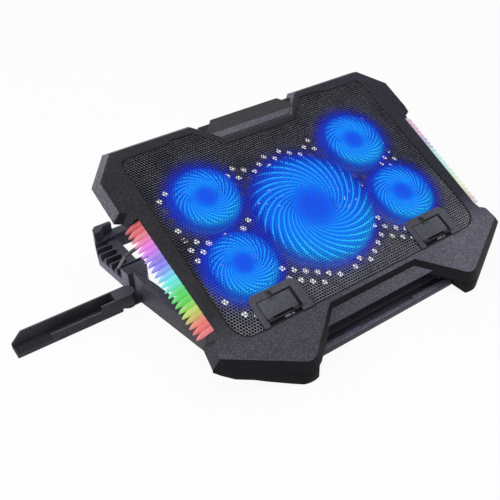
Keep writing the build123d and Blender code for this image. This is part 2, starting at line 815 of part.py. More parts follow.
add("base_frame", make_base())
pad_half_front = deck_inner + 3.0
pad_half_rear = deck_inner + 8.0
pad_places = [
    (-pad_half_front, rail_front + foot_pad_radius),
    (pad_half_front, rail_front + foot_pad_radius),
    (-pad_half_rear, rear_beam_back - foot_pad_radius - 1.0),
    (pad_half_rear, rear_beam_back - foot_pad_radius - 1.0),
]
for number, (x, y) in enumerate(pad_places, start=1):
    add(f"base_pad_{number}", prism(Pos(x, y) * Circle(foot_pad_radius), 0, foot_pad_t))
for side, label in ((1, "right"), (-1, "left")):
    inner = side * (bay_half - hinge_pin_length / 2)
    outer = side * (bay_half + hinge_pin_length / 2)
    add(f"hinge_pin_{label}", rod_x(min(inner, outer), max(inner, outer), 0, hinge_height, hinge_pin_radius))
add("tray_pin", prism(Pos(tray_x, tray_y) * Circle(tray_pin_radius), foot_pad_t, tray_height - 2.3))
add("phone_tray", make_tray())

add("panel_frame", place(make_panel_frame()))
add("mesh_panel", place(make_mesh_panel()))
add("bottom_shell", place(make_bottom_shell()))
add("nameplate", place(make_nameplate()))
add_pair("toe", make_toe(), lambda shape: shape)
add_pair("light_diffuser", make_diffuser(), place)
add_pair("led_board", make_led_board(), place)
add_pair("prop_clip", make_prop_clip(), place)
add("prop_bail", make_prop())

add("fan_large_frame", place(Pos(0, -large_fan_depth) * make_fan_frame(large_fan_radius)))
add("fan_large_rotor", place(Pos(0, -large_fan_depth) * make_rotor(large_fan_radius, large_blades)))
for number, (x, y) in enumerate(small_fan_places, start=1):
    add(f"fan_small_{number}_frame", place(Pos(x, y) * make_fan_frame(small_fan_radius)))
    add(f"fan_small_{number}_rotor", place(Pos(x, y) * make_rotor(small_fan_radius, small_blades)))

for label, x in (("left", -stopper_x), ("right", stopper_x)):
    add(f"stopper_base_{label}", place(Pos(x, 0) * make_stopper_base()))
    add(f"stopper_flap_{label}", place(Pos(x, 0) * make_stopper_flap()))
    add(f"stopper_pin_{label}", place(Pos(x, 0) * make_stopper_pin()))

add("control_housing", place(make_control_housing()))
for label, x in zip(("left", "right"), usb_x):
    add(f"usb_socket_{label}", place(make_usb_socket(control_x + x)))
for label, x in zip(("speed", "light"), button_x):
    add(f"{label}_button", place(make_button(control_x + x)))

for name, shape in nodes.items():
    export_step(shape, f"parts/{name}.step")
    print(name, round(shape.volume / 1000, 2), "cm3")
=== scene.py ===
import json
import math

import bmesh
import bpy
from mathutils import Matrix, Vector

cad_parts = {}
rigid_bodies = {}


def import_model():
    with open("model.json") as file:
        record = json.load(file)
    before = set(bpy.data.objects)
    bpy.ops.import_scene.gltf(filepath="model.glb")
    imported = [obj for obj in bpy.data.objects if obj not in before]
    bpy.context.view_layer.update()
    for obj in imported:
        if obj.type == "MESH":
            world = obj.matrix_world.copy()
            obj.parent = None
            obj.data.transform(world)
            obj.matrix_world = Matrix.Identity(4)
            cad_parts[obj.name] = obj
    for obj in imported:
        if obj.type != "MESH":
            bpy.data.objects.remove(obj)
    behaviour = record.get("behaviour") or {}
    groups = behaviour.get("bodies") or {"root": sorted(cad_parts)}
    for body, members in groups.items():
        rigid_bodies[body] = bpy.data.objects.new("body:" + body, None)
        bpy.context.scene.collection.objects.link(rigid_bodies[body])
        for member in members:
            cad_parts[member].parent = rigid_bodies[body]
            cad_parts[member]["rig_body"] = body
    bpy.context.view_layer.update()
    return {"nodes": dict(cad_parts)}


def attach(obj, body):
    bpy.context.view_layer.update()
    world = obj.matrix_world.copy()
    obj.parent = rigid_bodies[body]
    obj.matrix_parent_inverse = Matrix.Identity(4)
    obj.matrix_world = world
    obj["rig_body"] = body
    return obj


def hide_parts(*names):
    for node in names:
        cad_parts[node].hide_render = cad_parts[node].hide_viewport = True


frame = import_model()

MM = 0.001
TILT = math.radians(25.0)

# the panel's own frame: x to the right, v back from the rear edge, h up from its top face
PANEL = (
    Matrix.Translation((0, 0, 10.2 * MM))
    @ Matrix.Rotation(TILT, 4, "X")
    @ Matrix.Translation((0, 275.0 * MM, 28.9 * MM))
)
# the way up and back along the panel
REARWARD = (0, math.cos(TILT), math.sin(TILT))

# fans in the panel's frame: node stem, body, centre x and v, blade radius, vanes, in millimetres
FANS = [
    ("fan_large", "large_rotor", 0.0, -147.4, 65.0, 28),
    ("fan_small_1", "small_rotor_1", -105.0, -87.3, 33.0, 24),
    ("fan_small_2", "small_rotor_2", 105.0, -87.3, 33.0, 24),
    ("fan_small_3", "small_rotor_3", -113.0, -174.6, 33.0, 24),
    ("fan_small_4", "small_rotor_4", 113.0, -174.6, 33.0, 24),
]
# the hub's radius as a share of the blades', the lead angle of the vanes' spiral, and how far inside the
# hub's edge the spiral begins
HUB_SHARE, VANE_LEAD, VANE_ROOT = 0.34, math.radians(35.0), 1.5


def linear(text):
    """A hex sRGB colour as linear RGBA."""
    parts = [int(text[i:i + 2], 16) / 255 for i in (1, 3, 5)]
    return [c / 12.92 if c <= 0.04045 else ((c + 0.055) / 1.055) ** 2.4 for c in parts] + [1.0]


def on_panel(x, v, h):
    return PANEL @ Vector((x * MM, v * MM, h * MM))


# ---------------------------------------------------------------- material nodes
# settings that many nodes share: four kinds of noise, a smooth step, and two ways to mix colours
BROAD = {"Detail": 2.0, "Roughness": 0.6}
FINE = {"Detail": 3.0, "Roughness": 0.6}
TOOLED = {"Detail": 4.0, "Roughness": 0.6}
SANDY = {"Detail": 4.0, "Roughness": 0.7}
SMOOTH = {"interpolation_type": "SMOOTHSTEP"}
MIX = {"data_type": "RGBA", "blend_type": "MIX", "out": 2}
MULTIPLY = {"data_type": "RGBA", "blend_type": "MULTIPLY", "out": 2}


def plug(tree, node, inputs):
    """Set a node's inputs, by name or number, and link the ones that are given a socket."""
    for key, value in inputs.items():
        if isinstance(value, bpy.types.NodeSocket):
            tree.links.new(value, node.inputs[key])
        else:
            node.inputs[key].default_value = value


def add(tree, kind, inputs=(), out=0, stops=(), **settings):
    """Add one node with its settings, inputs and colour stops, and hand back one of its outputs."""
    node = tree.nodes.new("ShaderNode" + kind)
    for key, value in settings.items():
        setattr(node, key, value)
    plug(tree, node, inputs if isinstance(inputs, dict) else dict(enumerate(inputs)))
    if stops:
        elements = node.color_ramp.elements
        while len(elements) < len(stops):
            elements.new(0.5)
        for element, (place, colour) in zip(elements, stops):
            element.position = place
            element.color = linear(colour)
    return node.outputs[out] if node.outputs else None


def start_material(name):
    """A material, its tree, its shader, and the place on the object that its patterns read."""
    mat = bpy.data.materials.new(name)
    mat.use_nodes = True
    tree = mat.node_tree
    return mat, tree, tree.nodes["Principled BSDF"], add(tree, "TexCoord", out="Object")


# ---------------------------------------------------------------- lamp light of the fans
# heights in the panel's frame at which the light is drawn: on the sheet, and in the bay under it
SHEET_LIGHT, BAY_LIGHT = -0.9, -14.0
# the arms on the sheet lean towards a point at the front left, by this share of their distance from it
LEAN_X, LEAN_V, SHEET_LEAN = -428.0, -418.0, 0.0073
# how far the wash reaches past the blades, by their radius
HALO = {65.0: 36.0, 33.0: 32.0}


def fan_light(tree, where, height, lean):
    """Blue lamp light at a place: a wash round each fan, arms that its vanes throw, and a cyan front rim.

    lean moves the light towards the point at the front left, so that the arms on the sheet stand over the
    vanes below it."""
    washes, arms, rims = [], [], []
    for _, _, x, v, radius, vanes in FANS:
        size = radius * MM
        halo = size + HALO[radius] * MM
        centre = tuple(on_panel(x - lean * (x - LEAN_X), v - lean * (v - LEAN_V), height))
        out = add(tree, "VectorMath", (where, centre), operation="SUBTRACT")
        side = add(tree, "VectorMath", (out, (1, 0, 0)), "Value", operation="DOT_PRODUCT")
        back = add(tree, "VectorMath", (out, REARWARD), "Value", operation="DOT_PRODUCT")
        flat = add(tree, "CombineXYZ", (side, back))
        reach = add(tree, "VectorMath", (flat,), "Value", operation="LENGTH")

        # the wash: full over the vanes, a little less over the hub, and fading out into the halo
        fading = add(tree, "MapRange", (reach, 0.8 * size, halo, 1.0, 0.0), **SMOOTH)
        middle = add(tree, "MapRange", (reach, 0.1 * size, 0.62 * size, 0.9, 1.0), **SMOOTH)
        washes.append(add(tree, "Math", (fading, middle), operation="MULTIPLY"))

        # the arms: a wave round the fan whose phase grows with the vanes' own sweep
        twist = vanes / math.tan(VANE_LEAD)
        start = twist * math.log((radius * HUB_SHARE - VANE_ROOT) * MM) - math.pi
        turn = add(tree, "Math", (back, side), operation="ARCTAN2")
        growth = add(tree, "Math", (reach, math.e), operation="LOGARITHM")
        phase = add(tree, "Math", (growth, -twist, start), operation="MULTIPLY_ADD")
        phase = add(tree, "Math", (turn, float(vanes), phase), operation="MULTIPLY_ADD")
        wave = add(tree, "Math", (phase,), operation="COSINE")
        arm = add(tree, "MapRange", (wave, 0.45, 0.98, 0.0, 1.0), **SMOOTH)
        rising = add(tree, "MapRange", (reach, 0.33 * size, 0.5 * size, 0.0, 1.0), **SMOOTH)
        ending = add(tree, "MapRange", (reach, 0.98 * size, 1.13 * size, 1.0, 0.0), **SMOOTH)
        inside = add(tree, "Math", (rising, ending), operation="MULTIPLY")
        arms.append(add(tree, "Math", (arm, inside), operation="MULTIPLY"))

        # the cyan rim: a ring at the tips, on the front side only
        front = add(tree, "Math", (back, reach), operation="DIVIDE")
        near = add(tree, "MapRange", (front, -0.1, -0.85, 0.0, 1.0), **SMOOTH)
        rising = add(tree, "MapRange", (reach, 0.62 * size, 0.95 * size, 0.0, 1.0), **SMOOTH)
        ending = add(tree, "MapRange", (reach, size, size + 9.0 * MM, 1.0, 0.0), **SMOOTH)
        ring = add(tree, "Math", (rising, ending), operation="MULTIPLY")
        rims.append(add(tree, "Math", (ring, near), operation="MULTIPLY"))

    brightest = []
    for shares in (washes, arms, rims):
        most = shares[0]
        for share in shares[1:]:
            most = add(tree, "Math", (most, share), operation="MAXIMUM")
        brightest.append(most)
    return brightest


# ---------------------------------------------------------------- materials
def moulded(name, dark, body, fleck, rough, grain_mm, relief, toned=False, gloss=0.28):
    """Moulded plastic or rubber: sandy grain in colour, gloss and relief, and faint clouding from the mould.

    A real grain of about 0.3 mm would not show, so it is drawn as coarse as grain_mm. toned lets the
    painted light and shade of a piece through, where one side of it is painted lighter than another."""
    mat, tree, shader, where = start_material(name)
    grain = add(tree, "TexNoise", {"Vector": where, "Scale": 1 / (grain_mm * MM), **SANDY})
    pits = add(tree, "TexNoise", {"Vector": where, "Scale": 1 / (grain_mm * 0.6 * MM), **BROAD})
    cloud = add(tree, "TexNoise", {"Vector": where, "Scale": 1 / (70.0 * MM), **BROAD})
    colour = add(tree, "ValToRGB", (grain,), stops=((0.34, dark), (0.5, body), (0.66, fleck)))
    shade = add(tree, "ValToRGB", (cloud,), stops=((0.3, "#dedee3"), (0.7, "#ffffff")))
    colour = add(tree, "Mix", {0: 1.0, 6: colour, 7: shade}, **MULTIPLY)
    if toned:
        # painted light and shade of each face, from the piece's tone rule
        tone = add(tree, "Attribute", attribute_name="tone")
        colour = add(tree, "Mix", {0: 1.0, 6: colour, 7: tone}, **MULTIPLY)
    plug(tree, shader, {
        "Base Color": colour,
        "Specular IOR Level": gloss,
        "Roughness": add(tree, "MapRange", (grain, 0.3, 0.7, rough + 0.08, rough - 0.08)),
        "Normal": add(tree, "Bump", {"Height": pits, "Strength": relief, "Distance": 0.12 * MM}),
    })
    return mat


def make_mesh_steel():
    """Punched steel sheet under a dark coat, a painted highlight on one side of each hole, painted lighter at
    the front.

    Its grain is drawn at 2.6 mm, coarser than the coat's own, so that it shows, over patches of 30 mm that
    are rubbed more or less. It also carries the lamps' blue light, painted on its strands as a glow."""
    mat, tree, shader, where = start_material("coated_punched_steel")
    grain = add(tree, "TexNoise", {"Vector": where, "Scale": 1 / (2.6 * MM), **FINE})
    patch = add(tree, "TexNoise", {"Vector": where, "Scale": 1 / (30.0 * MM), **BROAD})
    # painted light: the coat and its highlights grow lighter towards the front
    depth = add(tree, "SeparateXYZ", (where,), "Y")
    near = add(tree, "MapRange", (depth, 0.12, -0.01, 0.0, 1.0), **SMOOTH)
    facing = add(tree, "TexCoord", out="Normal")
    # painted highlight on the strand faces that look to the front left
    painted_light_facing = tuple(PANEL.to_3x3() @ Vector((-0.5, -0.866, 0.0)))
    painted_lit_side = add(tree, "VectorMath", (facing, painted_light_facing), "Value", operation="DOT_PRODUCT")
    painted_lit_side = add(tree, "MapRange", (painted_lit_side, 0.42, 0.58, 0.0, 1.0))
    back = add(tree, "ValToRGB", (grain,), stops=((0.36, "#18181c"), (0.52, "#232328"), (0.66, "#34333a")))
    front = add(tree, "ValToRGB", (grain,), stops=((0.36, "#6e6e76"), (0.52, "#86868f"), (0.66, "#a4a4ac")))
    coat = add(tree, "Mix", {0: near, 6: back, 7: front}, **MIX)
    back = add(tree, "ValToRGB", (grain,), stops=((0.36, "#7c7c84"), (0.64, "#aeaeb6")))
    front = add(tree, "ValToRGB", (grain,), stops=((0.36, "#b4b4bc"), (0.64, "#d2d2d8")))
    painted_highlight = add(tree, "Mix", {0: near, 6: back, 7: front}, **MIX)
    shade = add(tree, "ValToRGB", (patch,), stops=((0.35, "#c4c4cc"), (0.65, "#ffffff")))
    steel = add(tree, "Mix", {0: painted_lit_side, 6: coat, 7: painted_highlight}, **MIX)
    steel = add(tree, "Mix", {0: 1.0, 6: steel, 7: shade}, **MULTIPLY)

    wash, arms, rim = fan_light(tree, where, SHEET_LIGHT, SHEET_LEAN)
    light = add(tree, "ValToRGB", (wash,), stops=(
        (0.0, "#000000"), (0.15, "#05051a"), (0.35, "#080b48"),
        (0.55, "#07148a"), (0.78, "#0430bc"), (1.0, "#0266ea")))
    rim_share = add(tree, "Math", (rim, 0.75), operation="MULTIPLY")
    light = add(tree, "Mix", {0: rim_share, 6: light, 7: linear("#0594d8")}, **MIX)
    arm_share = add(tree, "Math", (arms, 0.85), operation="MULTIPLY")
    arm_blue = add(tree, "Mix", {0: rim, 6: linear("#1ba6fa"), 7: linear("#2ed0f6")}, **MIX)
    light = add(tree, "Mix", {0: arm_share, 6: light, 7: arm_blue}, **MIX)

    # where the light is full the coat goes nearly black, so that only the lamps' blue is seen there
    lit = add(tree, "MapRange", (wash, 0.2, 0.8, 0.0, 0.95))
    plug(tree, shader, {
        "Base Color": add(tree, "Mix", {0: lit, 6: steel, 7: linear("#02040c")}, **MIX),
        "Specular IOR Level": 0.15,
        "Roughness": add(tree, "MapRange", (grain, 0.3, 0.7, 0.5, 0.34)),
        "Emission Color": light,
        "Emission Strength": 1.0,
        "Normal": add(tree, "Bump", {"Height": grain, "Strength": 0.15, "Distance": 0.1 * MM}),
    })
    return mat


def make_lit_plastic(name, dark, body, level):
    """Black moulded ABS of the fan bay, washed by the blue lamps of the fans.

    Its grain is drawn at 1.6 mm, coarser than it is, so that it shows."""
    mat, tree, shader, where = start_material(name)
    grain = add(tree, "TexNoise", {"Vector": where, "Scale": 1 / (1.6 * MM), **FINE})
    wash, _, rim = fan_light(tree, where, BAY_LIGHT, 0.0)
    light = add(tree, "ValToRGB", (wash,), stops=(
        (0.0, "#010104"), (0.18, "#04041e"), (0.4, "#07095a"), (0.74, "#0424b8"), (1.0, "#0250e4")))
    rim_share = add(tree, "Math", (rim, 0.5), operation="MULTIPLY")
    plug(tree, shader, {
        "Base Color": add(tree, "ValToRGB", (grain,), stops=((0.35, dark), (0.65, body))),
        "Specular IOR Level": 0.12,
        "Roughness": add(tree, "MapRange", (grain, 0.3, 0.7, 0.62, 0.46)),
        "Emission Color": add(tree, "Mix", {0: rim_share, 6: light, 7: linear("#0594d8")}, **MIX),
        "Emission Strength": level,
        "Normal": add(tree, "Bump", {"Height": grain, "Strength": 0.2, "Distance": 0.1 * MM}),
    })
    return mat


def make_vane_plastic():
    """Clear moulded polycarbonate lit from inside: deep blue hub, azure along the sweep, and a bright line on
    each top edge, where the light leaves it.

    The vane map is across from foot to top edge, and along from hub to tip."""
    mat, tree, shader, where = start_material("clear_polycarbonate_vanes")
    across = add(tree, "SeparateXYZ", (add(tree, "UVMap", uv_map="vane"),), "X")
    along = across.node.outputs["Y"]
    streak = add(tree, "TexNoise", {"Vector": where, "Scale": 1 / (34.0 * MM), **BROAD})
    out = add(tree, "MapRange", (along, -1.0, 1.0, 0.0, 1.0))
    body = add(tree, "ValToRGB", (out,), stops=(
        (0.28, "#044cee"), (0.46, "#0462f2"), (0.6, "#057ef6"),
        (0.74, "#058cf6"), (0.9, "#046ae6"), (1.0, "#0348d0")))
    slope = add(tree, "ValToRGB", (across,), stops=((0.0, "#6074c0"), (0.5, "#b4c6f0"), (0.85, "#ffffff")))
    lit = add(tree, "Mix", {0: 1.0, 6: body, 7: slope}, **MULTIPLY)
    azure = add(tree, "ValToRGB", (out,), stops=(
        (0.5, "#0670f2"), (0.62, "#129cfc"), (0.9, "#1cb4ff"), (1.0, "#108cf0")))
    cyan = add(tree, "ValToRGB", (out,), stops=(
        (0.5, "#0670f2"), (0.62, "#12acfc"), (0.9, "#22d0fa"), (1.0, "#12b2ea")))
    tint = add(tree, "MapRange", (streak, 0.42, 0.6, 0.0, 1.0))
    edge_light = add(tree, "Mix", {0: tint, 6: azure, 7: cyan}, **MIX)
    edge = add(tree, "MapRange", (across, 0.9, 0.99, 0.0, 1.0))
    colour = add(tree, "Mix", {0: edge, 6: lit, 7: edge_light}, **MIX)
    plug(tree, shader, {
        "Base Color": add(tree, "Mix", {0: 0.9, 6: colour, 7: linear("#02081c")}, **MIX),
        "Specular IOR Level": 0.12,
        "Roughness": add(tree, "MapRange", (streak, 0.3, 0.7, 0.36, 0.24)),
        "Emission Color": colour,
        "Emission Strength": 1.0,
    })
    return mat


def make_fin_plastic(name, level, white):
    """Milky moulded polycarbonate: each fin's own lamp colours it from inside, with faint clouds of 5 mm."""
    mat, tree, shader, where = start_material(name)
    lamp_colour = add(tree, "Attribute", attribute_name="lamp")
    milk = add(tree, "TexNoise", {"Vector": where, "Scale": 1 / (5.0 * MM), **FINE})
    clouds = add(tree, "MapRange", (milk, 0.3, 0.7, 0.0, white))
    body = add(tree, "Mix", {0: clouds, 6: lamp_colour, 7: linear("#ffffff")}, **MIX)
    plug(tree, shader, {
        "Base Color": add(tree, "Mix", {0: 0.5, 6: body, 7: linear("#000000")}, **MIX),
        "Specular IOR Level": 0.5,
        "Roughness": add(tree, "MapRange", (milk, 0.3, 0.7, 0.36, 0.24)),
        "Emission Color": lamp_colour,
        "Emission Strength": level,
        "Normal": add(tree, "Bump", {"Height": milk, "Strength": 0.08, "Distance": 0.2 * MM}),
    })
    return mat


def make_metal(name, dark, light, rough, mark_mm):
    """Drawn or turned metal: marks of the tool in its colour, gloss and relief.

    Real marks of under 0.1 mm would not show, so they are drawn as coarse as mark_mm."""
    mat, tree, shader, where = start_material(name)
    marks = add(tree, "TexNoise", {"Vector": where, "Scale": 1 / (mark_mm * MM), **TOOLED})
    plug(tree, shader, {
        "Base Color": add(tree, "ValToRGB", (marks,), stops=((0.3, dark), (0.7, light))),
        "Metallic": 1.0,
        "Roughness": add(tree, "MapRange", (marks, 0.3, 0.7, rough + 0.08, rough - 0.06)),
        "Normal": add(tree, "Bump", {"Height": marks, "Strength": 0.1, "Distance": 0.05 * MM}),
    })
    return mat


def make_coated_wire():
    """Spring steel wire under a dark grey coat: a soft highlight along it, broken by the coat's grain.

    The grain is drawn at 1.2 mm, coarser than it is, so that it shows."""
    mat, tree, shader, where = start_material("coated_spring_steel_wire")
    grain = add(tree, "TexNoise", {"Vector": where, "Scale": 1 / (1.2 * MM), **FINE})
    plug(tree, shader, {
        "Base Color": add(tree, "ValToRGB", (grain,), stops=((0.3, "#2d2d31"), (0.7, "#47474d"))),
        "Metallic": 0.2,
        "Roughness": add(tree, "MapRange", (grain, 0.3, 0.7, 0.38, 0.26)),
        "Normal": add(tree, "Bump", {"Height": grain, "Strength": 0.12, "Distance": 0.06 * MM}),
    })
    return mat


# matt charcoal ABS with a coarse sand grain, whose flecks catch the light
shell_plastic = moulded(
    "sand_grained_abs_shell", "#2b2b2e", "#39383d", "#55545b", 0.6, 1.5, 0.6, toned=True, gloss=0.14)
# the same grain painted deeper black, with hardly any shine, as a shaded copy of the shell: the undersides
# and feet
painted_shade_plastic = moulded("sand_grained_abs_painted_shade", "#17161a", "#1d1c20", "#28272b", 0.6, 1.7, 0.4, gloss=0.06)
# slate grey ABS with a softer, wider grain
base_plastic = moulded("moulded_abs_base", "#34333a", "#403f47", "#505058", 0.55, 2.2, 0.35, toned=True)
# nearly smooth satin ABS with a soft sheen
plate_plastic = moulded("satin_abs_nameplate", "#28282b", "#303034", "#3e3e43", 0.42, 2.6, 0.15, toned=True)
# smooth mid grey ABS, lighter than what it stands in
flap_plastic = moulded(
    "smooth_abs_stopper", "#4c4d57", "#555661", "#61626d", 0.45, 2.6, 0.12, toned=True, gloss=0.2)
# light grey nylon that catches the light in the dark well
clip_plastic = moulded("smooth_nylon_clip", "#6c6d76", "#7c7d86", "#8f9098", 0.4, 2.0, 0.1)
# dark grey ABS with a fine grain
tray_plastic = moulded("moulded_abs_tray", "#28272c", "#323136", "#424148", 0.55, 2.0, 0.3, toned=True)
# black ABS with a glossy top
button_plastic = moulded("glossy_abs_button", "#232327", "#2e2e33", "#3a3a40", 0.3, 2.5, 0.15)
# dull black rubber with a fine, dusty grain
pad_rubber = moulded("moulded_black_rubber", "#131314", "#1b1b1d", "#28282b", 0.85, 0.9, 0.6)
# glossy white lacquer over a lamp board
board_lacquer = moulded("white_board_lacquer", "#d5dad5", "#e4e7e2", "#f0f2ee", 0.35, 4.0, 0.1)
# smooth off-white nylon
tongue_plastic = moulded("white_nylon_tongue", "#d0d0cb", "#dededa", "#ecece8", 0.4, 3.0, 0.1)
mesh_steel = make_mesh_steel()
bay_plastic = make_lit_plastic("black_abs_fan_bay", "#0b0b0e", "#17171a", 1.0)
ring_plastic = make_lit_plastic("black_abs_fan_ring", "#0a0a0d", "#161619", 0.8)
vane_plastic = make_vane_plastic()
# strong colours at the left, and pale ones at the right, where the lamps are seen at a low slant
fin_left = make_fin_plastic("milky_polycarbonate_bright", 0.45, 0.15)
fin_right = make_fin_plastic("milky_polycarbonate_pale", 0.5, 0.2)
wire_steel = make_coated_wire()
# black oxide over turned steel, bright turned steel, nickel plate over pressed steel, and gold plate
dark_pin = make_metal("blackened_turned_steel", "#2c2c30", "#45454a", 0.4, 0.8)
pin_steel = make_metal("turned_steel", "#9a9a9c", "#c4c4c6", 0.3, 0.8)
socket_steel = make_metal("nickel_plated_pressed_steel", "#a8a6a0", "#d2d0ca", 0.28, 1.5)
contact_gold = make_metal("gold_plated_contacts", "#b08a3c", "#d8b25c", 0.3, 1.0)


# ---------------------------------------------------------------- mesh helpers
def new_object(name, mesh):
    obj = bpy.data.objects.new(name, mesh)
    bpy.context.scene.collection.objects.link(obj)
    return obj


def only(obj):
    """Select this object alone, for the operators that work on what is selected."""
    bpy.ops.object.select_all(action="DESELECT")
    obj.select_set(True)
    bpy.context.view_layer.objects.active = obj


def apply_modifier(obj, kind, **settings):
    modifier = obj.modifiers.new(kind.lower(), kind)
    for key, value in settings.items():
        setattr(modifier, key, value)
    only(obj)
    bpy.ops.object.modifier_apply(modifier=modifier.name)


def smooth(obj, degrees=32.0):
    only(obj)
    bpy.ops.object.shade_smooth_by_angle(angle=math.radians(degrees))


def settle(obj, body, material, slot, *nodes):
    """Finish a piece: its material, the body that it rides on, and the solids it stands for; slot is not
    used.
    """
    obj.data.materials.clear()
    obj.data.materials.append(material)
    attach(obj, body)
    if nodes:
        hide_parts(*nodes)
    return obj


def dress(node, material, slot, edge_mm):
    """A copy of a CAD node with joined faces and softened edges, in its finish."""
    solid = frame["nodes"][node]
    mesh = solid.data.copy()
    bm = bmesh.new()
    bm.from_mesh(mesh)
    bmesh.ops.remove_doubles(bm, verts=bm.verts, dist=0.004 * MM)
    bmesh.ops.dissolve_limit(bm, angle_limit=math.radians(0.6), verts=bm.verts, edges=bm.edges)
    bmesh.ops.recalc_face_normals(bm, faces=bm.faces)
    bm.to_mesh(mesh)
    bm.free()
    mesh.materials.clear()
    obj = new_object(node + "_finish", mesh)
    if edge_mm:
        apply_modifier(obj, "BEVEL", width=edge_mm * MM, segments=2, limit_method="ANGLE",
                       angle_limit=math.radians(28.0), use_clamp_overlap=True, miter_outer="MITER_ARC")
    smooth(obj)
    return settle(obj, solid["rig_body"], material, slot, node)


def tone(obj, rule, own=PANEL):
    """Paint light and shade on each face, from its place and facing in the panel's frame, or in another.

    The rule gives red, green and blue shares, which the piece's material is multiplied by."""
    back = own.inverted()
    layer = obj.data.color_attributes.new("tone", "FLOAT_COLOR", "CORNER")
    for face in obj.data.polygons:
        facing = back.to_3x3() @ face.normal
        for index in face.loop_indices:
            spot = back @ obj.data.vertices[obj.data.loops[index].vertex_index].co
            layer.data[index].color = (*rule(spot.x / MM, spot.y / MM, spot.z / MM, facing), 1.0)
    return obj


def ease(value, low, high):
    """Rises smoothly from 0 at low to 1 at high."""
    share = min(1.0, max(0.0, (value - low) / (high - low)))
    return share * share * (3 - 2 * share)


def grid_faces(rows, columns, first):
    """Four-sided faces between rows of points, each row a closed ring, from the point with this number."""
    faces = []
    for row in range(rows - 1):
        for column in range(columns):
            a = first + row * columns + column
            b = first + row * columns + (column + 1) % columns
            faces.append((a, b, b + columns, a + columns))
    return faces


def capped_faces(rows, columns, first):
    """The same, with a face over each end."""
    last = first + (rows - 1) * columns
    start_cap = tuple(range(first, first + columns))
    end_cap = tuple(reversed(range(last, last + columns)))
    return grid_faces(rows, columns, first) + [start_cap, end_cap]


def from_points(name, points, faces):
    mesh = bpy.data.meshes.new(name)
    mesh.from_pydata(points, [], faces)
    bm = bmesh.new()
    bm.from_mesh(mesh)
    bmesh.ops.recalc_face_normals(bm, faces=bm.faces)
    bm.to_mesh(mesh)
    bm.free()
    return new_object(name, mesh)


# ---------------------------------------------------------------- rigid pieces with softened edges
# the least upward part of a face's direction that makes it a top
TOP_FACING = 0.8


def frame_tone(x, v, h, facing):
    """Painted light and shade: top painted lighter towards the front wings, skirts painted light at the left
    and rear, and painted dark at the front.
    """
    painted_lit_side, shade = (3.6, 3.6, 3.55), (0.17, 0.16, 0.19)
    skirt, wing_skirt = (0.7, 0.7, 0.74), (1.15, 1.13, 1.2)
    left = facing.x < -0.6
    if facing.z > TOP_FACING:
        # painted light: the top grows lighter towards the front wings and to the right
        front = ease(v, -205.0, -262.0)
        right = ease(x, -160.0, 170.0)
        level = 0.72 + front * (1.2 + 1.7 * right) + 0.14 * right * (1 - ease(v, 0.0, -60.0))
        # the lamps tint the rear right of the top a little blue
        blue = right * (1 - front)
        return (
            level * (1 - 0.16 * blue),
            level * (1 - 0.02 * front - 0.12 * blue),
            level * (1 + 0.05 * front + 0.12 * blue),
        )
    # painted light on the skirts at the rear and left, and painted shade on those that face the front
    if v > -73.0 and (facing.y > 0.3 or left):
        return painted_lit_side
    if facing.y < -0.2:
        return shade
    return wing_skirt if left and v < -228.0 else skirt


def plate_tone(x, v, h, facing):
    """The nameplate's top dark, its front slope and its edges painted light as highlights."""
    top, slope, edge = (1.0, 1.0, 1.02), (4.4, 4.3, 4.7), (3.4, 3.4, 3.45)
    if facing.z > 0.985:
        return top
    return slope if facing.y < -0.15 else edge


def base_tone(x, y, z, facing):
    """Painted light and shade: outer walls at the left painted lighter, the front bar painted lightest, and
    what faces the front painted dark.
    """
    painted_lit_wall, wall = (3.6, 3.5, 3.8), (0.85, 0.85, 0.9)
    bar_top, top = (4.4, 4.3, 4.5), (1.25, 1.25, 1.3)
    bar_side, side = (1.5, 1.5, 1.6), (0.8, 0.8, 0.82)
    if facing.x < -0.5:
        return painted_lit_wall if y > 178.0 else wall
    if facing.z > TOP_FACING:
        return bar_top if y < -4.0 else top
    return bar_side if y < -10.0 else side


def tray_tone(x, y, z, facing):
    """The tray's raised rim painted lighter on top, as a highlight."""
    rim, plain = (2.6, 2.6, 2.75), (1.0, 1.0, 1.0)
    return rim if facing.z > TOP_FACING and z > 12.0 else plain


def cut_across(mesh, x_step, v_step):
    """Cut the large flat faces along and across, so that a lightness can change over them."""
    planes = [((x * MM, 0, 0), (1, 0, 0)) for x in range(-200, 201, x_step)]
    planes += [(on_panel(0, v, 0), REARWARD) for v in range(-300, 1, v_step)]
    bm = bmesh.new()
    bm.from_mesh(mesh)
    for place, normal in planes:
        everything = bm.verts[:] + bm.edges[:] + bm.faces[:]
        bmesh.ops.bisect_plane(bm, geom=everything, plane_co=place, plane_no=normal)
    bm.to_mesh(mesh)
    bm.free()


def block(x0, x1, v0, v1, h0, h1):
    """A square block in the panel's frame."""
    middle = ((x0 + x1) / 2 * MM, (v0 + v1) / 2 * MM, (h0 + h1) / 2 * MM)
    bpy.ops.mesh.primitive_cube_add(size=1.0, location=middle)
    obj = bpy.context.object
    obj.scale = ((x1 - x0) * MM, (v1 - v0) * MM, (h1 - h0) * MM)
    bpy.ops.object.transform_apply(location=True, rotation=False, scale=True)
    obj.data.transform(PANEL)
    return obj


def small_block(name, limits, edge_mm, material, slot):
    """A small block on the panel with softened edges, as a piece of its own."""
    obj = block(*limits)
    obj.name = name
    apply_modifier(obj, "BEVEL", width=edge_mm * MM, segments=2, limit_method="ANGLE")
    smooth(obj)
    return settle(obj, "panel", material, slot)


def wedge(half, section):
    """A prism across the panel from its section in v and h."""
    points = [tuple(on_panel(x, v, h)) for x in (-half, half) for v, h in section]
    count = len(section)
    faces = [tuple(range(count)), tuple(range(count, 2 * count))]
    faces += [(k, (k + 1) % count, count + (k + 1) % count, count + k) for k in range(count)]
    return from_points("wedge", points, faces)


def carve(obj, cutters):
    """Cut each cutter from the piece, and drop the cutters."""
    for cutter in cutters:
        apply_modifier(obj, "BOOLEAN", operation="DIFFERENCE", object=cutter, solver="EXACT")
        bpy.data.objects.remove(cutter)


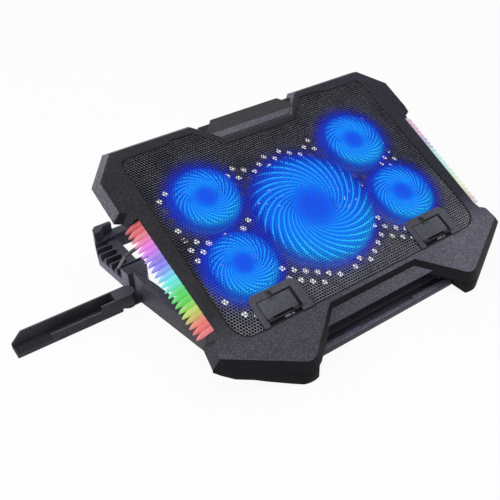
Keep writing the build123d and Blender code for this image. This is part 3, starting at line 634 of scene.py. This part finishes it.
panel_top = dress("panel_frame", shell_plastic, "shell_plastic", 0.55)
cut_across(panel_top.data, 20, 10)
tone(panel_top, frame_tone)
dress("toe_left", painted_shade_plastic, "shell_plastic", 0.8)
dress("toe_right", painted_shade_plastic, "shell_plastic", 0.8)
dress("bottom_shell", bay_plastic, "shell_plastic", 0.0)
dress("control_housing", painted_shade_plastic, "shell_plastic", 0.5)
tone(dress("base_frame", base_plastic, "base_plastic", 0.6), base_tone, Matrix.Identity(4))
for number in range(1, 5):
    dress(f"base_pad_{number}", pad_rubber, "pad_rubber", 0.4)
tone(dress("phone_tray", tray_plastic, "base_plastic", 0.5), tray_tone, Matrix.Identity(4))
dress("prop_bail", wire_steel, "wire_steel", 0.0)
for side in ("left", "right"):
    dress(f"prop_clip_{side}", painted_shade_plastic, "shell_plastic", 0.3)
    dress(f"stopper_pin_{side}", dark_pin, "pin_steel", 0.15)
    dress(f"hinge_pin_{side}", pin_steel, "pin_steel", 0.3)
    dress(f"usb_socket_{side}", socket_steel, "socket_steel", 0.15)
    dress(f"led_board_{side}", board_lacquer, "led_board", 0.1)
dress("tray_pin", pin_steel, "pin_steel", 0.3)

# the nameplate's front slopes down to the sheet: the section that is cut from it, its half width, and the
# least bend in degrees that counts as an edge
PLATE_CUT = [(-17.5, -0.3), (-31.0, -3.4), (-31.0, 3.0), (-17.5, 3.0)]
PLATE_CUT_HALF, PLATE_BEND = 60.0, 9.0
plate = dress("nameplate", plate_plastic, "plate_plastic", 0.0)
carve(plate, [wedge(PLATE_CUT_HALF, PLATE_CUT)])
apply_modifier(plate, "BEVEL", width=0.3 * MM, segments=2, limit_method="ANGLE",
               angle_limit=math.radians(PLATE_BEND))
smooth(plate, PLATE_BEND)
tone(plate, plate_tone)


# ---------------------------------------------------------------- laptop stoppers
STOPPER_X = 107.2
# the finger dip is part of a ball: its centre, with x from the stopper's middle, and its radius; its mouth
# lies within the last radius
DIP_X, DIP_V, DIP_H, DIP_RADIUS, DIP_MOUTH = -8.0, -220.4, 13.05, 12.5, 6.0
# channels cut in a stopper's base, as x from its middle, and v
CHANNELS = [(16.0, 19.4, -246.2, -222.4), (-2.6, 19.4, -222.5, -220.7)]
CHANNEL_FLOOR, CHANNEL_TOP = 0.35, 4.0
# the flap's hinge barrel lies in front of this v
BARREL_V = -242.0
# what stands in the well at the front of a stopper, as x from its middle, v and h, and its softened edge
WELL = [
    ("stopper_bed", (-24.0, 16.3, -248.8, -242.2, -0.79, -0.35), 0.1, painted_shade_plastic),
    ("stopper_clip", (-4.6, 2.2, -248.4, -246.2, -0.4, 1.5), 0.35, clip_plastic),
    ("stopper_clip_small", (4.0, 7.4, -248.2, -246.4, -0.4, 0.9), 0.3, clip_plastic),
]


def finger_dimple(x):
    """The ball that cuts a finger dip in the stopper at this x."""
    bpy.ops.mesh.primitive_uv_sphere_add(segments=64, ring_count=48, radius=DIP_RADIUS * MM,
                                         location=((x + DIP_X) * MM, DIP_V * MM, DIP_H * MM))
    obj = bpy.context.object
    obj.data.transform(PANEL @ obj.matrix_world)
    obj.matrix_world = Matrix.Identity(4)
    return obj


def stopper_tone(x, v, h, facing):
    """Painted deep shade in the cut channels, and a finger dip painted light at its left and dark at its
    right.
    """
    channel, plain = (0.16, 0.16, 0.17), (1.0, 1.0, 1.0)
    across = x - math.copysign(STOPPER_X, x) - DIP_X
    if across ** 2 + (v - DIP_V) ** 2 < DIP_MOUTH ** 2 and (h < 1.9 or facing.z < 0.99):
        level = max(0.12, 0.66 + 1.9 * facing.x)
        return (level, level, level)
    if h < 0.5 or (facing.z < 0.5 and h < 1.2):
        return channel
    return plain


def flap_tone(x, v, h, facing):
    """The flap's painted light and shade, as the stopper's, with its hinge barrel painted dark as shade in
    the well.
    """
    barrel = (0.2, 0.2, 0.21)
    if v < BARREL_V:
        return barrel
    level = 1.12 * stopper_tone(x, v, max(h, 1.3), facing)[0]
    return (level, level, level)


def make_stopper(side, x):
    base = dress(f"stopper_base_{side}", flap_plastic, "flap_plastic", 0.35)
    channels = [block(x + x0, x + x1, v0, v1, CHANNEL_FLOOR, CHANNEL_TOP) for x0, x1, v0, v1 in CHANNELS]
    carve(base, channels + [finger_dimple(x)])
    smooth(base)
    tone(base, stopper_tone)
    flap = dress(f"stopper_flap_{side}", flap_plastic, "flap_plastic", 0.3)
    carve(flap, [finger_dimple(x)])
    smooth(flap)
    tone(flap, flap_tone)


STOPPERS = (("left", -STOPPER_X), ("right", STOPPER_X))
for side, x in STOPPERS:
    for stem, (x0, x1, *rest), edge, material in WELL:
        small_block(f"{stem}_{side}", (x + x0, x + x1, *rest), edge, material, "flap_plastic")
for side, x in STOPPERS:
    make_stopper(side, x)
for name in ("speed_button", "light_button"):
    dress(name, button_plastic, "button_plastic", 0.2)
for stem, _, _, _, _, _ in FANS:
    dress(f"{stem}_frame", ring_plastic, "fan_plastic", 0.25)


# ---------------------------------------------------------------- perforated top sheet
SHEET_TOP, SHEET_LOW, SHEET_FRONT, SHEET_REAR = -0.8, -1.8, -252.0, -6.0
HOLE_PITCH, ROW_PITCH, HOLE_SHARE, HOLE_SLOPE = 3.25, 3.0, 0.76, 0.3
# the window's right half: the slope beside the notch, then the corners, as centre x and v, and radius
NOTCH = [(47.5, -36.0), (76.5, -8.0), (104.5, -8.0), (115.5, -12.0)]
WINDOW_SIDE, WINDOW_FRONT, CORNER_RADIUS = 168.5, -250.5, 9.0
REAR_CORNER = (162.0, -21.0, CORNER_RADIUS)
FRONT_CORNER = (WINDOW_SIDE - CORNER_RADIUS, WINDOW_FRONT + CORNER_RADIUS, CORNER_RADIUS)
# where the infill of a front corner ends: one arc lies in the frame, the other is the window's softer corner
INFILL_UNDER, INFILL_SOFT = (*FRONT_CORNER[:2], CORNER_RADIUS + 0.4), (147.4, -229.4, 21.0)
CORNER_STEPS = 8
# the radius of the dark line along the softer corner
EDGE_RADIUS = 21.5


def corner_arc(cx, cv, radius, start, end, steps=4):
    """Points of an arc about a centre, between two angles in degrees."""
    out = []
    for k in range(steps + 1):
        a = math.radians(start + (end - start) * k / steps)
        out.append((cx + radius * math.cos(a), cv + radius * math.sin(a)))
    return out


def convex_strips():
    """The right half of the sheet as upright convex strips, each with its outline."""
    (x0, v0), (x1, v1) = NOTCH[0], NOTCH[-1]
    middle = [(0, v0), (x0, v0), (x0, WINDOW_FRONT), (0, WINDOW_FRONT)]
    inner = NOTCH + [(x1, WINDOW_FRONT), (x0, WINDOW_FRONT)]
    corners = corner_arc(*REAR_CORNER, 90, 0) + corner_arc(*FRONT_CORNER, 0, -90)
    return [middle, inner, [(x1, v1)] + corners + [(x1, WINDOW_FRONT)]]


def punched_strip(outline):
    """One strip of the sheet: a net of cells, each round its hole, cut off along the outline."""
    up = ROW_PITCH / 2 + HOLE_PITCH ** 2 / (8 * ROW_PITCH)
    low = ROW_PITCH / 2 - HOLE_PITCH ** 2 / (8 * ROW_PITCH)
    half = HOLE_PITCH / 2
    cell = [(0, up), (half, low), (half, -low), (0, -up), (-half, -low), (-half, low)]
    # the cell's rings: its outer edge and the hole's broken edge, and the same two below
    rings = (
        (1.0, SHEET_TOP), (HOLE_SHARE, SHEET_TOP - HOLE_SLOPE),
        (HOLE_SHARE, SHEET_LOW), (1.0, SHEET_LOW),
    )
    x_low = min(x for x, _ in outline) - HOLE_PITCH
    x_high = max(x for x, _ in outline) + HOLE_PITCH
    points, faces = [], []
    for row in range(int(SHEET_FRONT / ROW_PITCH) - 1, int(SHEET_REAR / ROW_PITCH) + 2):
        v = row * ROW_PITCH
        shift = half if row % 2 else 0.0
        for column in range(int(x_low / HOLE_PITCH) - 1, int(x_high / HOLE_PITCH) + 2):
            x = column * HOLE_PITCH + shift
            if x_low < x < x_high:
                faces += grid_faces(len(rings), len(cell), len(points))
                for share, h in rings:
                    points += [((x + a * share) * MM, (v + b * share) * MM, h * MM) for a, b in cell]
    mesh = bpy.data.meshes.new("strip")
    mesh.from_pydata(points, [], faces)
    bm = bmesh.new()
    bm.from_mesh(mesh)
    bmesh.ops.remove_doubles(bm, verts=bm.verts, dist=0.01 * MM)
    for (x0, v0), (x1, v1) in zip(outline, outline[1:] + outline[:1]):
        everything = bm.verts[:] + bm.edges[:] + bm.faces[:]
        place, outwards = (x0 * MM, v0 * MM, 0), (v0 - v1, x1 - x0, 0)
        bmesh.ops.bisect_plane(bm, geom=everything, dist=0.001 * MM, plane_co=place, plane_no=outwards,
                               clear_outer=True)
    bm.to_mesh(mesh)
    bm.free()
    return mesh


def make_half_sheet(side):
    """One half of the sheet, its strips joined; the left half is the right one turned over."""
    whole = bmesh.new()
    for outline in convex_strips():
        strip = punched_strip(outline)
        whole.from_mesh(strip)
        bpy.data.meshes.remove(strip)
    bmesh.ops.remove_doubles(whole, verts=whole.verts, dist=0.02 * MM)
    if side < 0:
        bmesh.ops.transform(whole, matrix=Matrix.Scale(-1, 4, (1, 0, 0)), verts=whole.verts)
    bmesh.ops.recalc_face_normals(whole, faces=whole.faces)
    mesh = bpy.data.meshes.new("perforated_sheet")
    whole.to_mesh(mesh)
    whole.free()
    mesh.transform(PANEL)
    obj = new_object("perforated_sheet_" + ("right" if side > 0 else "left"), mesh)
    return settle(obj, "panel", mesh_steel, "mesh_steel", "mesh_panel")


def window_edge(inset, front_radius):
    """The sheet's outline, moved inwards, round the whole window."""
    inwards = [(0.40, -1.0), (0.40, -1.0), (-0.18, -1.0), (-0.18, -1.0)]
    moved = [(x + dx * inset, v + dv * inset) for (x, v), (dx, dv) in zip(NOTCH, inwards)]
    x, v, radius = REAR_CORNER
    moved += corner_arc(x, v, radius - inset, 90, 0)
    x, v = WINDOW_SIDE - front_radius, WINDOW_FRONT + front_radius
    moved += corner_arc(x, v, front_radius - inset, 0, -90, CORNER_STEPS)
    return moved + [(-x, v) for x, v in reversed(moved)]


def make_corner_infill(side):
    """Rounds a front corner of the window more softly, flush with the frame."""
    outer = corner_arc(*INFILL_UNDER, 0, -90, CORNER_STEPS)
    inner = corner_arc(*INFILL_SOFT, 0, -90, CORNER_STEPS)
    loop = [(side * x, v) for x, v in outer + list(reversed(inner))]
    count = len(loop)
    points = [tuple(on_panel(x, v, h)) for h in (-0.05, -0.79) for x, v in loop]
    faces = [(k, (k + 1) % count, count + (k + 1) % count, count + k) for k in range(count)]
    for first in (0, count):
        last = first + count - 1
        faces += [(first + k, first + k + 1, last - k - 1, last - k) for k in range(count // 2 - 1)]
    infill = from_points("window_corner_" + ("right" if side > 0 else "left"), points, faces)
    tone(infill, frame_tone)
    return settle(infill, "panel", shell_plastic, "shell_plastic")


def make_bead(name, section, front_radius):
    """A soft black bead round the window, from its section as inset and height."""
    points, faces = [], []
    for inset, h in section:
        points += [tuple(on_panel(x, v, h)) for x, v in window_edge(inset, front_radius)]
    sides = len(section)
    count = len(points) // sides
    for ring in range(sides):
        for k in range(count):
            a, b = ring * count + k, ring * count + (k + 1) % count
            c, d = (ring + 1) % sides * count + (k + 1) % count, (ring + 1) % sides * count + k
            faces.append((a, b, c, d))
    bead = from_points(name, points, faces)
    smooth(bead)
    return settle(bead, "panel", pad_rubber, "pad_rubber")


make_half_sheet(1)
make_half_sheet(-1)
make_corner_infill(1)
make_corner_infill(-1)
# the first closes the slit between frame and shell, the second is the dark line between frame and sheet
GASKET = ((2.55, -1.95), (4.1, -1.95), (4.4, -2.3), (4.4, -3.0), (2.55, -3.0))
EDGE_LINE = ((0.05, -0.79), (0.05, -0.4), (0.9, -0.42), (1.5, -0.6), (1.6, -0.79))
make_bead("opening_gasket", GASKET, CORNER_RADIUS)
make_bead("sheet_edge_bead", EDGE_LINE, EDGE_RADIUS)


# ---------------------------------------------------------------- fan rotors
BAY_FLOOR = -18.3
ROTOR_LOW, ROTOR_HIGH = BAY_FLOOR + 2.7, BAY_FLOOR + 14.2
VANE_TOP = ROTOR_HIGH - 1.05
# the share of a pitch that a vane fills, and the share of its reach where its tip begins to drop
VANE_COVER, TIP_SHARE = 0.22, 0.86
VANE_STATIONS, VANE_STEPS, HUB_STEPS = 15, 4, 48


def make_rotor(stem, body, x0, v0, radius, vanes):
    """Domed hub with swept, pitched vanes. Vane map: across from foot to top, along from hub to tip."""
    hub = radius * HUB_SHARE
    start, end = hub - 0.5, radius - 0.2
    half = math.pi / vanes * VANE_COVER
    rising = [(-half, k / VANE_STEPS) for k in range(VANE_STEPS + 1)]
    section = rising + [(half, c) for _, c in reversed(rising)]
    points, faces, places = [], [], []

    def ring_point(reach, turn, height):
        points.append((x0 + reach * math.cos(turn), v0 + reach * math.sin(turn), height))

    for n in range(vanes):
        faces += capped_faces(VANE_STATIONS, len(section), len(points))
        direction = 2 * math.pi * n / vanes
        for station in range(VANE_STATIONS):
            share = station / (VANE_STATIONS - 1)
            reach = start + (end - start) * share
            tip = max(0.0, (share - TIP_SHARE) / (1 - TIP_SHARE))
            sweep = math.log(reach / (hub - VANE_ROOT)) / math.tan(VANE_LEAD)
            for side, c in section:
                height = ROTOR_LOW + (VANE_TOP - ROTOR_LOW) * c * (1 - 0.16 * tip * tip)
                # the foot flares out below 0.3 of the height, and the top leans over by half a pitch
                foot = 1 - 0.35 * c + 2.9 * max(0.0, 1 - c / 0.3)
                ring_point(reach, direction + sweep + side * foot + c * math.pi / vanes, height)
                places.append((c, share))
    # the hub's side, its rounded shoulder, a fine step, and the flat dome
    profile = [
        (hub, ROTOR_LOW), (hub, ROTOR_HIGH - 1.4),
        (hub - 0.5, ROTOR_HIGH - 0.6), (hub - 1.6, ROTOR_HIGH - 0.15),
        (hub * 0.72, ROTOR_HIGH), (hub * 0.69, ROTOR_HIGH - 0.3), (hub * 0.66, ROTOR_HIGH - 0.35),
        (hub * 0.3, ROTOR_HIGH - 0.3), (0.6, ROTOR_HIGH - 0.28),
    ]
    first = len(points)
    for reach, height in profile:
        for k in range(HUB_STEPS):
            ring_point(reach, 2 * math.pi * k / HUB_STEPS, height)
            places.append((0.85, reach / hub - 1))
    faces += grid_faces(len(profile), HUB_STEPS, first)
    faces.append(tuple(range(len(points) - HUB_STEPS, len(points))))
    obj = from_points(stem + "_vanes", [tuple(on_panel(*p)) for p in points], faces)
    layer = obj.data.uv_layers.new(name="vane")
    for corner in obj.data.loops:
        layer.data[corner.index].uv = places[corner.vertex_index]
    smooth(obj, 40.0)
    return settle(obj, body, vane_plastic, "rotor_plastic", stem + "_rotor")


for fan in FANS:
    make_rotor(*fan)


# ---------------------------------------------------------------- light strips
FIN_COUNT, STRIP_LENGTH, STRIP_X, STRIP_V, STRIP_TAPER = 22, 142.0, 187.0, -86.0, 5.0
# a fin by its distance out from the root: top and underside as height, sides as shares of the pitch
FIN_TOP = [(0, -0.85), (3.5, -2.0), (7.65, -3.4), (12.5, -6.2), (17.0, -9.45)]
FIN_UNDER = [(0, -3.75), (6.8, -7.2), (12.0, -9.1), (17.0, -10.95)]
FIN_FRONT = [(0, 0.47), (9.5, 0.46), (13.5, 0.28), (15.8, 0.1), (17.0, -0.14)]
FIN_BACK = [(0, -0.47), (10.0, -0.46), (14.6, -0.33), (16.2, -0.24), (17.0, -0.17)]
FIN_STATIONS = [0, 2, 4, 6, 8, 9.5, 11, 12.5, 14, 15.2, 16.2, 16.95]
# places across a fin, as shares of its half width: over its crown, and back along its underside
CROWN_PLACES, UNDER_PLACES = [-1.0, -0.94, -0.75, -0.4, 0.0, 0.4, 0.75, 0.94, 1.0], [0.9, 0.0, -0.9]
CROWN_HEIGHT = 1.35
# the lamps' colours from rear to front
LEFT_LAMPS = [
    "#c8474e", "#e2626e", "#ee7f92", "#ec80bd", "#f07be8", "#df80f4", "#b787f6", "#9079ea",
    "#8a86fa", "#8aa8fa", "#7ed6fc", "#6cf3f0", "#66ecd2", "#5ee486", "#50dc62", "#62d854",
    "#90de58", "#c8e066", "#d0bc5e", "#f08a74", "#f06c6a", "#ef7a82",
]
RIGHT_LAMPS = [
    "#dab0ca", "#d8b0d3", "#dbaad6", "#d6b0d6", "#dab8e0", "#c2aed8", "#c0b6da", "#bcc4d8",
    "#bfe0e6", "#bff0ee", "#bcefee", "#c4f1ee", "#bff2ea", "#c4f0e0", "#ccf0d6", "#dcf1d0",
    "#e6f1d8", "#ecefd4", "#e8e6ca", "#e2dcc6", "#d8cac8", "#e0ccd6",
]


def profile_at(table, d):
    """The value at a distance, on straight lines between the table's pairs."""
    for (d0, h0), (d1, h1) in zip(table, table[1:]):
        if d <= d1:
            return h0 + (h1 - h0) * (d - d0) / (d1 - d0)
    return table[-1][1]


def make_strip(side):
    """Rounded, pointed fins in a row, each in the colour of its own lamp."""
    right = side > 0
    label = "right" if right else "left"
    lamps = RIGHT_LAMPS if right else LEFT_LAMPS
    pitch = (STRIP_LENGTH - 2.0) / FIN_COUNT
    angle = -math.atan2(STRIP_TAPER, STRIP_LENGTH)
    place = PANEL @ Matrix.Translation((STRIP_X * MM, STRIP_V * MM, 0)) @ Matrix.Rotation(angle, 4, "Z")
    width = len(CROWN_PLACES) + len(UNDER_PLACES)
    points, faces, colours = [], [], []
    for k in range(FIN_COUNT):
        faces += capped_faces(len(FIN_STATIONS), width, len(points))
        colours += [linear(lamps[k])] * (len(FIN_STATIONS) * width)
        middle = -1.0 - pitch * (k + 0.5)
        for d in FIN_STATIONS:
            back, front = profile_at(FIN_BACK, d) * pitch, profile_at(FIN_FRONT, d) * pitch
            top, under = profile_at(FIN_TOP, d), profile_at(FIN_UNDER, d)
            centre, half = middle + (back + front) / 2, (front - back) / 2
            # the crown grows up within the first millimetres from the root
            crown = CROWN_HEIGHT * min(1.0, d / 3.0 + 0.35)
            for s in CROWN_PLACES:
                h = top - crown * (1 - math.sqrt(max(0.0, 1 - s * s * 0.96)))
                points.append((d, centre + s * half, max(h, under + 0.3)))
            points += [(d, centre + s * half, under) for s in UNDER_PLACES]
    spots = [place @ Vector((d * MM, t * MM, h * MM)) for d, t, h in points]
    obj = from_points("light_fins_" + label, [(spot.x * side, spot.y, spot.z) for spot in spots], faces)
    layer = obj.data.color_attributes.new("lamp", "FLOAT_COLOR", "POINT")
    for item, colour in zip(layer.data, colours):
        item.color = colour
    smooth(obj, 50.0)
    return settle(obj, "panel", fin_right if right else fin_left, "diffuser", "light_diffuser_" + label)


make_strip(1)
make_strip(-1)


# ---------------------------------------------------------------- USB socket tongues
# a tongue's half width, v and height, and its four contacts under it, in the panel's frame
SOCKETS = (("left", 88.0), ("right", 106.0))
TONGUE_HALF, TONGUE_PLACE = 5.5, (-16.8, -8.2, -13.5, -11.7)
CONTACT_PLACES, CONTACT_HALF = (-3.6, -1.2, 1.2, 3.6), 0.5
CONTACT_V, CONTACT_H = (-16.4, -9.0), (-13.75, -13.45)
BOX_FACES = ((0, 1, 3, 2), (4, 6, 7, 5), (0, 4, 5, 1), (2, 3, 7, 6), (1, 5, 7, 3), (0, 2, 6, 4))

for label, x in SOCKETS:
    limits = (x - TONGUE_HALF, x + TONGUE_HALF, *TONGUE_PLACE)
    small_block("usb_tongue_" + label, limits, 0.3, tongue_plastic, "socket_steel")
    points, faces = [], []
    for middle in CONTACT_PLACES:
        faces += [tuple(len(points) + corner for corner in face) for face in BOX_FACES]
        for px in (x + middle - CONTACT_HALF, x + middle + CONTACT_HALF):
            points += [tuple(on_panel(px, v, h)) for v in CONTACT_V for h in CONTACT_H]
    contacts = from_points("usb_contacts_" + label, points, faces)
    settle(contacts, "panel", contact_gold, "socket_steel")


# ---------------------------------------------------------------- floor, light and camera
FLOOR_SIZE, FLOOR_DROP = 30.0, 0.0003
WHITE = (1, 1, 1, 1)


def seen_directly(tree):
    """1 for what the camera sees, straight, in a reflection or through something clear."""
    camera_ray = add(tree, "LightPath", out="Is Camera Ray")
    rays = camera_ray.node.outputs
    seen = add(tree, "Math", (camera_ray, rays["Is Glossy Ray"]), operation="MAXIMUM")
    return add(tree, "Math", (seen, rays["Is Transmission Ray"]), operation="MAXIMUM")


def empty_tree(holder):
    """The cleared node tree of a material or world."""
    holder.use_nodes = True
    holder.node_tree.nodes.clear()
    return holder.node_tree


# matt white background paper, which takes soft shadows and is lifted to nearly pure white where it is seen
bpy.ops.mesh.primitive_plane_add(size=FLOOR_SIZE, location=(0, 0, -FLOOR_DROP))
ground = bpy.context.object
ground.name = "studio_floor"
floor_paper = bpy.data.materials.new("matt_background_paper")
tree = empty_tree(floor_paper)
where = add(tree, "TexCoord", out="Object")
fibres = add(tree, "TexNoise", {"Vector": where, "Scale": 1 / (300.0 * MM), **BROAD})
paper = add(tree, "ValToRGB", (fibres,), stops=((0.3, "#f4f4f4"), (0.7, "#fbfbfb")))
matt = add(tree, "BsdfDiffuse", {"Color": paper})
lifted = add(tree, "Emission", {"Color": WHITE, "Strength": 1.0})
share = add(tree, "Math", (seen_directly(tree), 0.93), operation="MULTIPLY")
add(tree, "OutputMaterial", {"Surface": add(tree, "MixShader", (share, matt, lifted))})
ground.data.materials.append(floor_paper)

world = bpy.data.worlds.new("studio")
tree = empty_tree(world)
soft = add(tree, "Background", {"Color": WHITE, "Strength": 0.42})
white = add(tree, "Background", {"Color": WHITE, "Strength": 1.0})
add(tree, "OutputWorld", {"Surface": add(tree, "MixShader", (seen_directly(tree), soft, white))})
bpy.context.scene.world = world


def softbox(name, place, size, watts):
    """A square lamp that looks at the middle of the object."""
    data = bpy.data.lights.new(name, "AREA")
    data.shape = "SQUARE"
    data.size = size
    data.energy = watts
    obj = bpy.data.objects.new(name, data)
    bpy.context.scene.collection.objects.link(obj)
    obj.location = place
    obj.rotation_euler = (Vector((0, 0.1, 0.05)) - Vector(place)).to_track_quat("-Z", "Y").to_euler()


softbox("softbox_left", (-1.5, 0.5, 1.1), 1.2, 13.0)
softbox("softbox_top", (0.1, 0.0, 1.9), 1.6, 8.0)

EYE = (-0.4280, -0.3937, 0.5166)
forward, right = Vector((0.45057, 0.66157, -0.59942)), Vector((0.81590, -0.57769, -0.02429))
above = right.cross(forward).normalized()
camera_data = bpy.data.cameras.new("camera")
camera = bpy.data.objects.new("camera", camera_data)
bpy.context.scene.collection.objects.link(camera)
bpy.context.scene.camera = camera
camera_data.sensor_width = 36.0
camera_data.lens = 50.82
camera_data.clip_start, camera_data.clip_end = 0.05, 60.0
camera.matrix_world = Matrix((
    (right.x, above.x, -forward.x, EYE[0]),
    (right.y, above.y, -forward.y, EYE[1]),
    (right.z, above.z, -forward.z, EYE[2]),
    (0, 0, 0, 1),
))
bpy.context.scene.view_settings.view_transform = "Standard"
